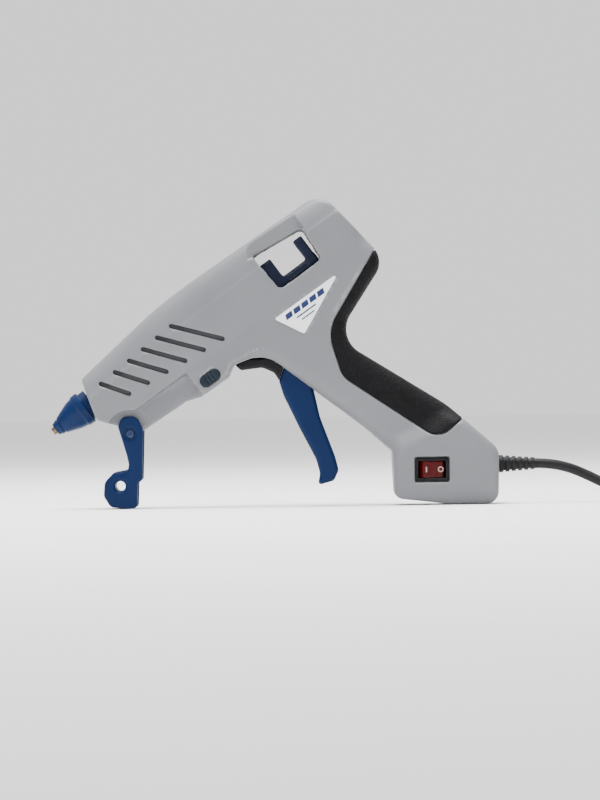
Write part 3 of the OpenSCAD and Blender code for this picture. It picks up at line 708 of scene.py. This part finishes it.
def make_barrel_parts():
    tip = [(1, 0), (2.4, 0), (2.4, 2.2), (7.2, 17), (7.2, 26), (5, 26), (5, 43), (1.6, 43), (1.6, 24),
           (1, 24)]
    finish_piece("nozzle_tip", lathe("nozzle_tip", tip, round_off=0.25), "housing", "brass", ["nozzle"])
    cone = [(2.45, 2.3), (3.9, 2.3), (5.3, 5.8), (4.9, 6.1), (5.15, 6.7), (5.7, 6.9), (7.2, 10.6), (9.5, 17),
            (10.2, 20.6), (11.1, 22.2), (11.1, 26.2), (9.6, 26.5), (9.6, 31), (7.3, 31), (7.3, 17)]
    mesh = lathe("nozzle_cone", cone, round_off=0.12)
    finish_piece("nozzle_cone", mesh, "housing", "royal_blue", ["nozzle_sleeve"])
    sleeve = [(STICK_R, 106.2), (STICK_R, 118), (9, 118), (11, 108), (11, 102.2), (9.55, 102.2),
              (9.55, 106.2)]
    mesh = lathe("guide_boot", sleeve)
    finish_piece("guide_boot", mesh, "housing", "silicone_black", ["stick_guide_sleeve"])
    bush = [(STICK_R, 213), (9, 213), (9, 231.8), (8.4, 231.8), (7.4, 231.0), (STICK_R, 229.5)]
    mesh = lathe("inlet_bush", bush)
    # The bush ends flush with the barrel's slanted back.
    for vertex in mesh.vertices:
        s, t = on_barrel(vertex.co.x / MM, vertex.co.z / MM)
        over = s - (230.2 - 0.128 * t)
        if over > 0:
            vertex.co -= Vector((COS, 0, SIN)) * over * MM
    finish_piece("inlet_bush", mesh, "housing", "silicone_black", ["rear_inlet_bush"])


# ---- moving parts


def trigger_field(x, y, z):
    out = np.abs(y)
    blade = meet(blade_plan(x, z), out - TRIGGER_HALF, 2.6)
    hub = meet(rod(x, z, TRIGGER_PIVOT, 6.5), out - TRIGGER_HALF, 0.6)
    boss = meet(rod(x, z, TRIGGER_PIVOT, 5), out - FORK_OUT, 0.4)
    whole = join(join(blade, hub, 1.5), boss, 0.6)
    turn = ANGLE - math.atan2(5, 36)
    dx, dz = x - TRIGGER_PIVOT[0], z - TRIGGER_PIVOT[1]
    u = dx * math.cos(turn) + dz * math.sin(turn)
    v = dz * math.cos(turn) - dx * math.sin(turn)
    fork = meet(meet(box(u, -5.5, 5.5), box(v, -1, 42), 2.0), box(out, 11, FORK_OUT), 0.5)
    gap = np.maximum(box(u, -2.55, 2.55), 32.5 - v)
    whole = join(whole, meet(fork, -gap, 0.5), 0.5)
    return np.maximum(whole, -rod(x, z, TRIGGER_PIVOT, PIVOT_HOLE_R))


def shroud_field(x, y, z):
    out = np.abs(y)
    whole = meet(shroud_plan(x, z), out - TRIGGER_HALF, 2.0)
    whole = np.maximum(whole, -(blade_plan(x, z) - 0.1))
    return np.maximum(whole, -rod(x, z, TRIGGER_PIVOT, 6.6))


def stand_field(x, y, z):
    out = np.abs(y)
    arm = meet(arm_plan(x, z), box(out, 11.4, STAND_HALF), 1.2)
    loop = meet(loop_plan(x, z), out - STAND_HALF, 2.6)
    whole = meet(join(arm, loop, 1.5), -z, 0.4)
    eye = np.maximum(rod(x, z, LOOP_HOLE, 3.25), out - 20)
    whole = bevelled(whole, -eye, 1.4)
    dish = meet(rod(x, z, STAND_PIVOT, 4.6), 14.5 - out, 0.3)
    whole = meet(whole, -dish, 0.3)
    return np.maximum(whole, -rod(x, z, STAND_PIVOT, PIVOT_HOLE_R))


def carriage_field(x, y, z):
    s, t = on_barrel(x, z)
    out = np.abs(y)

    def block(s0, s1, y0, y1, t0, t1, r=0.9):
        side = meet(box(s, s0, s1), box(t, t0, t1), r)
        return meet(side, box(out, y0, y1), min(r, (y1 - y0) / 2 - 0.1))

    whole = join(block(169, 177.3, -1, 9.5, -15, 4.6), block(195.5, 202, -1, 9.5, -15, 4.6), 0.2)
    whole = join(whole, block(169, 202, -1, 9.5, -15, -9.5), 1.6)
    whole = join(whole, block(170, 201, -1, 7, -18.5, -14), 0.5)
    whole = join(whole, block(170, 201, -1, 13.4, -20, -17.5, 0.5), 0.8)
    whole = join(whole, block(138.8, 172, 7.2, 9.5, -5, 4.6, 0.5), 0.6)
    whole = join(whole, block(152, 164, 7.2, 9.5, -12, 0, 0.5), 0.8)
    pin = meet(np.hypot(s - 145, t) - 2.4, box(out, 9, 14.8), 0.4)
    whole = join(whole, pin, 0.3)
    bore = np.hypot(out, t)
    whole = meet(whole, -np.maximum(bore - 6.3, 150 - s), 0.6)
    whole = meet(whole, -np.maximum(np.maximum(out - 6.3, box(s, 165, 205)), -t), 0.6)
    return np.maximum(whole, -np.maximum(np.hypot(s - 158, t + 9.5) - 1.25, out - 12))


blade_plan, shroud_plan, arm_plan = Plan(BLADE, 0.3), Plan(SHROUD, 0.25), Plan(ARM, 0.3)
loop_plan = Plan(LOOP, 0.25)


def make_moving():
    mesh = surface("trigger_blade", trigger_field, (-30, -15, 12), (43, 15, 146), MOVING_STEP)
    finish_piece("trigger_blade", mesh, "trigger", "royal_blue", ["trigger"])
    # The guard is a real part, but its black colour stands in for the shade under the housing's arch: painted
    # shade.
    mesh = surface("trigger_guard", shroud_field, (-25, -9.5, 79), (9, 9.5, 98), MOVING_STEP)
    finish_piece("trigger_guard", mesh, "trigger", "black_plastic", ["trigger_shroud"])
    mesh = surface("stand_frame", stand_field, (-112, -15.5, -0.5), (-82, 15.5, 61), MOVING_STEP)
    finish_piece("stand_frame", mesh, "stand", "royal_blue", ["stand"])
    mesh = surface("carriage_block", carriage_field, (-38, -15, 120), (33, 15, 176), MOVING_STEP)
    finish_piece("carriage_block", mesh, "carriage", "carriage_navy", ["feed_carriage"])


def latch_field(x, y, z):
    out = -y
    knob = meet(latch_plan(x, z, 3.6), box(out, 14, 18.9), 0.7)
    flange = meet(latch_plan(x, z, 3.6, 4.6), box(out, 13, 15.1), 0.3)
    u, _ = on_latch(x, z)
    ridge = 1e9
    for k in (-2.4, 0, 2.4):
        ridge = np.minimum(ridge, np.hypot(u - k, out - 19.2) - 0.8)
    return np.maximum(join(knob, flange, 0.3), -ridge)


def switch_field(x, y, z):
    out = -y
    rim = meet(square(x, z, SWITCH, 21, 15, 1.4), box(out, 21.2, 23), 0.6)
    case = meet(square(x, z, SWITCH, 19, 13, 0.6), box(out, 4, 22), 0.3)
    whole = np.minimum(rim, case)
    return meet(whole, -np.maximum(square(x, z, SWITCH, 17.4, 11, 0.5), 8.4 - out), 0.5)


ROCKER_Y, ROCKER_TILT = -17.0, math.radians(9)


def in_rocker(x, y):
    """Coordinates that turn with the rocker: u along it, w outwards."""
    dx, dy = x - SWITCH[0], y - ROCKER_Y
    c, s = math.cos(ROCKER_TILT), math.sin(ROCKER_TILT)
    return dx * c + dy * s, dx * s - dy * c


def rocker_top(u):
    """How far out the rocker's face is, which dips in its middle."""
    return 4.9 + 1.6 * np.abs(u) / 12


def rocker_field(x, y, z):
    u, w = in_rocker(x, y)
    drum = np.hypot(u, w) - 8.3
    face = (w - rocker_top(u)) * 0.99
    whole = meet(drum, face, 0.7)
    return meet(whole, np.abs(z - SWITCH[1]) - 5.3, 0.5)


def make_switch():
    mesh = surface("latch_button", latch_field, (-50, -20, 74), (-30, -12.5, 92), DETAIL_STEP)
    finish_piece("latch_button", mesh, "latch", "button_grey", ["stand_latch_button"])
    mesh = surface("switch_case", switch_field, (89, -23.5, 14), (111, -3.5, 30.5), 0.45)
    finish_piece("switch_case", mesh, "housing", "black_plastic", ["switch_body"])
    mesh = surface("rocker_cap", rocker_field, (91, -26, 16.5), (109, -8, 28.1), DETAIL_STEP)
    finish_piece("rocker_cap", mesh, "rocker", "rocker_red", ["rocker"])
    make_marks()


def make_marks():
    """The generic bar and ring on the rocker's face, as thin raised prints."""
    def lay(points, lift):
        out = []
        c, s = math.cos(ROCKER_TILT), math.sin(ROCKER_TILT)
        for u, v in points:
            w = rocker_top(u) + lift
            out.append((SWITCH[0] + u * c + w * s, ROCKER_Y + u * s - w * c, SWITCH[1] + v))
        return out

    def circle(r):
        return [(4.7 + r * math.cos(a), r * math.sin(a)) for a in np.linspace(0, 2 * math.pi, 33)[:-1]]

    def mark(name, points, faces):
        mesh = closed(mesh_of(name, points, faces))
        finish_piece(name, mesh, "rocker", "rocker_red", [], "mark_white", smooth=False)

    top, bottom = 0.06, -0.1
    bar = [(-4.9, -1.7), (-4.1, -1.7), (-4.1, 1.7), (-4.9, 1.7)]
    n = len(bar)
    faces = [tuple(range(n)), tuple(range(2 * n - 1, n - 1, -1))]
    faces += [(i, i + n, (i + 1) % n + n, (i + 1) % n) for i in range(n)]
    mark("rocker_mark_on", lay(bar, top) + lay(bar, bottom), faces)

    ring, hole = circle(1.8), circle(1.15)
    n = len(ring)
    faces = []
    for i in range(n):
        j = (i + 1) % n
        faces += [
            (i, j, n + j, n + i), (2 * n + i, 3 * n + i, 3 * n + j, 2 * n + j),
            (i, 2 * n + i, 2 * n + j, j), (n + i, n + j, 3 * n + j, 3 * n + i),
        ]
    points = lay(ring, top) + lay(hole, top) + lay(ring, bottom) + lay(hole, bottom)
    mark("rocker_mark_off", points, faces)


def closed(mesh):
    """The same mesh with its faces turned outwards."""
    bm = bmesh.new()
    bm.from_mesh(mesh)
    bmesh.ops.recalc_face_normals(bm, faces=bm.faces)
    bm.to_mesh(mesh)
    bm.free()
    return mesh


# ---------------------------------------------------------------- cord

CORD_D = 6.5
LEAD = [
    (143, 0, 25), (149, 0, 25), (156, 0, 25), (168, 0, 25), (179, 0, 24), (189, 0, 21.5), (198, -0.3, 17.8),
    (207, -1.9, 13.4), (216, -4.2, 9.2), (225, -6.9, 6), (234, -9.5, 4.2), (243, -11.6, 3.4), (250, -12.5, 3.3),
]
# The hank is two runs along X between two round folds: the near fold's centre, the runs' length, how far the
# outside and inside turns lie from the middle line, and how much the tie draws them in and lifts them.
HANK_AT = (254.4, 14.0)
HANK_RUN = 100.0
OUTER, INNER = 26.6, 19.4
PINCH, LIFT = 14.5, 0.8
FLOOR_LAYER, TOP_LAYER = 3.3, 9.9
PLUG = (258.0, -5.4, 20.6)


def waist(w):
    """From 0 at a run's ends to 1 at the tie."""
    return (1 - math.cos(2 * math.pi * w)) / 2


def run_point(side, w, o, z):
    """A point on one of the hank's runs, o outside its middle line and w along it."""
    x = HANK_AT[0] + HANK_RUN * (w if side < 0 else 1 - w)
    return (x, HANK_AT[1] + side * (o - PINCH * waist(w)), z + LIFT * waist(w))


def fold_point(side, f, o, z):
    """A point on the far or the near fold, f of the way round it."""
    a = math.pi * (f - 0.5) if side > 0 else math.pi * (f + 0.5)
    return (HANK_AT[0] + (HANK_RUN if side > 0 else 0) + o * math.cos(a), HANK_AT[1] + o * math.sin(a), z)


def hank_points(per_run=20, per_fold=12):
    """The hank's centreline: outside and inside turns on the floor, the same on top, then over to the plug."""
    points = []
    tracks = [(OUTER, FLOOR_LAYER), (INNER, FLOOR_LAYER), (INNER, TOP_LAYER), (OUTER, TOP_LAYER)]
    for turn, (o, z) in enumerate(tracks):
        points += [run_point(-1, k / per_run, o, z) for k in range(per_run)]
        points += [fold_point(1, k / per_fold, o, z) for k in range(per_fold)]
        if turn == 3:
            break
        next_o, next_z = tracks[turn + 1]
        for k in range(per_run):
            w = k / per_run
            u = ease((w - 0.15) / 0.7)
            aside = -2.9 * ease(w / 0.25) * ease((1 - w) / 0.25) if turn == 1 else 0
            points.append(run_point(1, w, o + (next_o - o) * u + aside, z + (next_z - z) * u))
        points += [fold_point(-1, k / per_fold, next_o, next_z) for k in range(per_fold)]
    for k in range(per_run):
        w = k / per_run
        x, y, _ = run_point(1, w, OUTER, 0)
        points.append((x, y, TOP_LAYER + 8.6 * ease(2 * w) + 1.3 * ease(2 * w - 1)))
    for k in range(per_fold + 1):
        f = ease(k / per_fold)
        points.append(fold_point(-1, k / per_fold, OUTER - 7.2 * f, 19.8 + 0.8 * f))
    return points


def smooth_line(points, spacing=2.5):
    """A Catmull-Rom curve through points, about spacing apart."""
    p = np.array([np.array(points[0]) * 2 - points[1], *points, np.array(points[-1]) * 2 - points[-2]], float)
    out = []
    for a, b, c, d in zip(p, p[1:], p[2:], p[3:]):
        steps = max(1, round(float(np.linalg.norm(c - b)) / spacing))
        for k in range(steps):
            t = k / steps
            out.append(0.5 * (2 * b + (c - a) * t + (2 * a - 5 * b + 4 * c - d) * t**2
                              + (3 * b - a - 3 * c + d) * t**3))
    out.append(p[-2])
    return np.array(out)


def make_cord():
    line = smooth_line([*LEAD, *hank_points()[1:], (PLUG[0] + 2, PLUG[1], PLUG[2])])
    length = float(np.linalg.norm(np.diff(line, axis=0), axis=1).sum()) * MM
    curve = bpy.data.curves.new("mains_cord", "CURVE")
    curve.dimensions = "3D"
    curve.bevel_depth = CORD_D / 2 * MM
    curve.bevel_resolution = 5
    curve.use_fill_caps = True
    spline = curve.splines.new("POLY")
    spline.points.add(len(line) - 1)
    for point, co in zip(spline.points, line * MM):
        point.co = (*co, 1)
    spline.use_smooth = True
    curve.materials.append(LOOK["cord_black"])
    piece = bpy.data.objects.new("mains_cord", curve)
    bpy.context.scene.collection.objects.link(piece)
    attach(piece, "housing")
    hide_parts("cord_lead", "cord_hank", "cord_tail")
    return piece, length


def relief_mesh():
    """The tapered strain relief, ringed with the slots that let such a sleeve bend."""
    outer = [(6.8, 134.2), (6.8, 137.8), (5.05, 137.8), (5.05, 143.6)]
    for k in range(6):
        x = 143.6 + 4.0 * k
        r = 5.6 - 0.32 * k
        outer += [(r, x), (r - 0.12, x + 2.5), (r - 1.15, x + 2.5), (r - 1.2, x + 4.0)]
    outer += [(3.75, 167.8), (3.3, 167.8), (3.3, 134.2)]
    outline = rounded([(r, x, 0.22) for r, x in outer], 30)
    return turned("relief", outline, lambda s, a, r: (s, r * math.cos(a), CORD_Z + r * math.sin(a)), 56)


def plug_field(x, y, z):
    dx, dy, dz = x - PLUG[0], y - PLUG[1], z - PLUG[2]
    boot = meet(np.hypot(dy, dz) - (3.9 + 0.075 * dx), box(dx, 0.1, 16), 0.6)
    for k in range(4):
        groove = np.hypot(np.hypot(dy, dz) - 5.0, dx - 2.6 - 2.4 * k) - 0.75
        boot = np.maximum(boot, -groove)
    half = 8 + 6 * ease((dx - 12) / 9)
    deep = 4 + 2.6 * ease((dx - 8) / 8)
    body = meet(meet(np.abs(dy) - half, box(dx, 9, 38), 3.0), np.abs(dz) - deep, 2.2)
    whole = join(boot, body, 2.0)
    for k in range(4):
        rib = np.hypot(np.abs(dy) - 15.2, dx - 23.5 - 3.2 * k) - 1.9
        whole = meet(whole, -rib, 0.3)
    return whole


def pin_part(name, profile, y):
    """A turned part of one plug pin; the profile is (radius, distance from the plug's start)."""
    return turned(name, np.array(profile, float), lambda s, a, r: (
        PLUG[0] + s, PLUG[1] + y + r * math.cos(a), PLUG[2] + r * math.sin(a)), 40)


def tie_mesh():
    """A closed strap around the hank's middle, with softened edges."""
    half = 0.35
    outline = rounded([(-16.2, half, 2.2), (16.2, half, 2.2), (16.2, 14.4, 2.6), (-16.2, 14.4, 2.6)], 12)
    bm = bmesh.new()
    x0, x1 = HANK_AT[0] + HANK_RUN / 2 - 5, HANK_AT[0] + HANK_RUN / 2 + 5
    rings = []
    for x, inset in ((x0, half), (x0 + 0.4, 0), (x1 - 0.4, 0), (x1, half)):
        ring = []
        for thick in (half - inset * 0.6, -half + inset * 0.6):
            row = []
            for k, (u, v) in enumerate(outline):
                prev, after = outline[k - 1], outline[(k + 1) % len(outline)]
                d = (after - prev) / np.linalg.norm(after - prev)
                y, z = HANK_AT[1] + u + d[1] * thick, v - d[0] * thick
                row.append(bm.verts.new((x * MM, y * MM, z * MM)))
            ring.append(row)
        rings.append(ring)
    n = len(outline)
    for a, b in zip(rings, rings[1:]):
        for layer in (0, 1):
            for k in range(n):
                m = (k + 1) % n
                bm.faces.new((a[layer][k], a[layer][m], b[layer][m], b[layer][k]))
    for ring in (rings[0], rings[-1]):
        for k in range(n):
            m = (k + 1) % n
            bm.faces.new((ring[0][k], ring[0][m], ring[1][m], ring[1][k]))
    bmesh.ops.recalc_face_normals(bm, faces=bm.faces)
    mesh = bpy.data.meshes.new("hank_tie")
    bm.to_mesh(mesh)
    bm.free()
    return mesh


def make_lead_parts():
    relief = finish_piece("relief", relief_mesh(), "housing", "cord_black", ["strain_relief"])
    low = (PLUG[0] - 1, PLUG[1] - 15, PLUG[2] - 7)
    high = (PLUG[0] + 39, PLUG[1] + 15, PLUG[2] + 7)
    mesh = surface("plug", plug_field, low, high, 0.5)
    plug = finish_piece("plug", mesh, "housing", "plug_black", ["plug_body"])
    parts = [relief, plug, finish_piece("hank_tie", tie_mesh(), "housing", "tie_grey", ["cord_tie"])]
    pin_profile = [(0, 37), (2, 37), (2, 55.6), (1.7, 56.6), (0.9, 57), (0, 57)]
    collar_profile = [(2.0, 37.5), (2.04, 37.5), (2.04, 47.5), (2.0, 47.5)]
    for tag, y in (("near", -9.3), ("far", 9.3)):
        nodes = ["plug_pins"] if tag == "near" else []
        mesh = pin_part("pin_" + tag, pin_profile, y)
        parts.append(finish_piece("pin_" + tag, mesh, "housing", "pin_nickel", nodes))
        mesh = pin_part("collar_" + tag, collar_profile, y)
        parts.append(finish_piece("collar_" + tag, mesh, "housing", "plug_black", []))
    return parts


cord, cord_length = make_cord()
lead_parts = make_lead_parts()

make_housing()
make_badge()
make_barrel_parts()
make_moving()
make_switch()

# ---------------------------------------------------------------- CAD nodes that stay

SLOTS = {row["node"]: row["material_slot"] for row in frame["record"]["subparts"]}
for node_name, node_object in frame["nodes"].items():
    if not node_object.hide_render:
        look = LOOK[SLOTS[node_name]]
        node_object.data.materials.clear()
        node_object.data.materials.append(look)
        for face in node_object.data.polygons:
            face.material_index = 0

# ---------------------------------------------------------------- stage and light


def make_stage():
    bpy.ops.mesh.primitive_circle_add(vertices=96, radius=14, fill_type="NGON", location=(0, 0, -0.0003))
    floor = bpy.context.object
    floor.name = "floor"
    n = Nodes("floor")
    base = n.mix(n.spread(n.noise(3, 3), 0, 1), (0.9, 0.9, 0.9, 1), (0.93, 0.93, 0.93, 1))
    n.put(n.shader, "Base_Color", base)
    n.shader.inputs["Roughness"].default_value = 0.8
    floor.data.materials.append(n.material)
    world = bpy.data.worlds.new("world")
    bpy.context.scene.world = world
    world.use_nodes = True
    world.node_tree.nodes["Background"].inputs[0].default_value = (1, 1, 1, 1)
    world.node_tree.nodes["Background"].inputs[1].default_value = 1.2


def area_light(name, at, aim, size, power):
    """A soft rectangular light; places and sizes are in metres, power in watts."""
    data = bpy.data.lights.new(name, "AREA")
    data.shape, data.size, data.size_y = "RECTANGLE", size[0], size[1]
    data.energy = power
    light = bpy.data.objects.new(name, data)
    light.location = at
    light.rotation_euler = (Vector(aim) - Vector(at)).to_track_quat("-Z", "Y").to_euler()
    bpy.context.scene.collection.objects.link(light)


make_stage()
area_light("key", (-0.2, -0.1, 1.7), (0, 0, 0.08), (1.3, 0.9), 88)
area_light("back", (0.4, 1.0, 1.3), (0, 0, 0.1), (1.2, 0.6), 6)
area_light("front", (-0.9, -1.5, 0.7), (0, 0, 0.1), (0.5, 0.5), 2)
